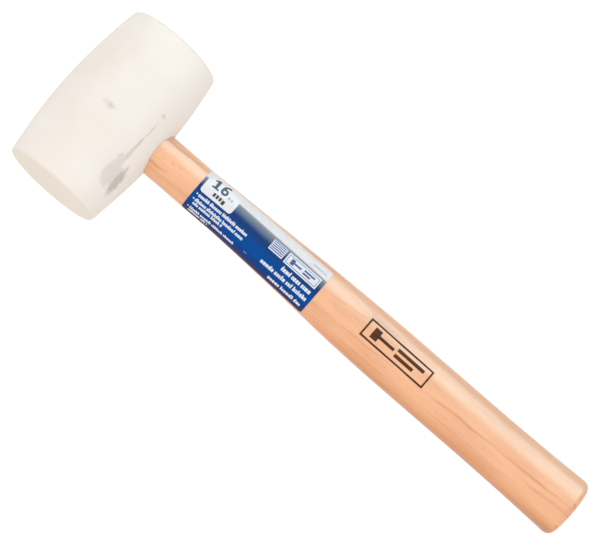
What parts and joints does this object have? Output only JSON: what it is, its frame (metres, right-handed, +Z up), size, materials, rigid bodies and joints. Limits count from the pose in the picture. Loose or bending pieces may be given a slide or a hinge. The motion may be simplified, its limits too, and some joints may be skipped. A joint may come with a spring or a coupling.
{
  "type": "rubber mallet",
  "caption": "Mallet with a barrel-shaped moulded rubber head glued onto a turned hardwood handle that swells into an oval grip, with a wrapped film label below the head.",
  "frame": {"origin": "middle of the bounding box's underside; the mallet lies on its side, with the belly of the head and the lower edge of the butt on z = 0", "axes": "+X from the head towards the butt of the handle, +Y along the head towards one striking face, +Z up; the handle slopes down a little from the head to the butt"},
  "size_m": [0.343, 0.0974, 0.063],
  "materials": {
    "head_rubber": "matte",
    "handle_wood": "satin",
    "adhesive": "satin",
    "label_print": "gloss"
  },
  "bodies": {
    "root": {"rubber_head": "head_rubber", "handle": "handle_wood", "socket_adhesive": "adhesive", "label_film": "label_print"}
  },
  "joints": []
}
